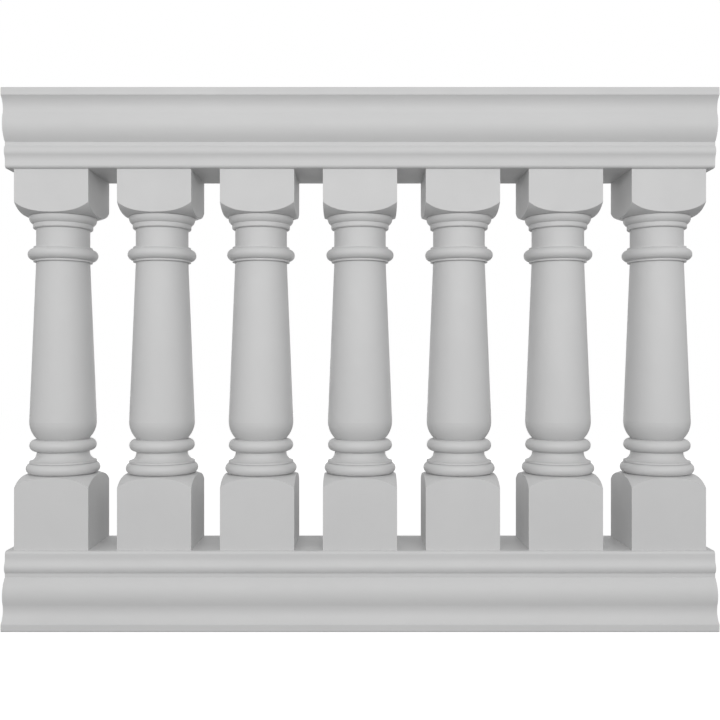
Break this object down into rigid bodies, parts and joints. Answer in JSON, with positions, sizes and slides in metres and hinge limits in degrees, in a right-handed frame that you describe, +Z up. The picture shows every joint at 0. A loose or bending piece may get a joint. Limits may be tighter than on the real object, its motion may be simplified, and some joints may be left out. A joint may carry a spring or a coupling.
{
  "type": "fibreglass balustrade",
  "caption": "Straight length of classical balustrade: turned balusters with square blocks between a moulded top rail and a moulded bottom rail.",
  "frame": {"origin": "on the ground, under the middle of the bottom rail", "axes": "+X along the rails, +Y across them towards one of the two like faces, +Z up"},
  "size_m": [1.2042, 0.175, 0.914],
  "materials": {
    "rail_gelcoat": "smooth matt off-white gelcoat",
    "baluster_gelcoat": "smooth matt off-white gelcoat"
  },
  "bodies": {
    "root": {"bottom_rail": "rail_gelcoat", "bottom_rail_seat_plate": "rail_gelcoat", "top_rail": "rail_gelcoat", "top_rail_seat_plate": "rail_gelcoat", "bottom_rail_end_cap_left": "rail_gelcoat", "bottom_rail_end_cap_right": "rail_gelcoat", "top_rail_end_cap_left": "rail_gelcoat", "top_rail_end_cap_right": "rail_gelcoat", "baluster_1": "baluster_gelcoat", "baluster_2": "baluster_gelcoat", "baluster_3": "baluster_gelcoat", "baluster_4": "baluster_gelcoat", "baluster_5": "baluster_gelcoat", "baluster_6": "baluster_gelcoat", "baluster_7": "baluster_gelcoat"}
  },
  "joints": []
}
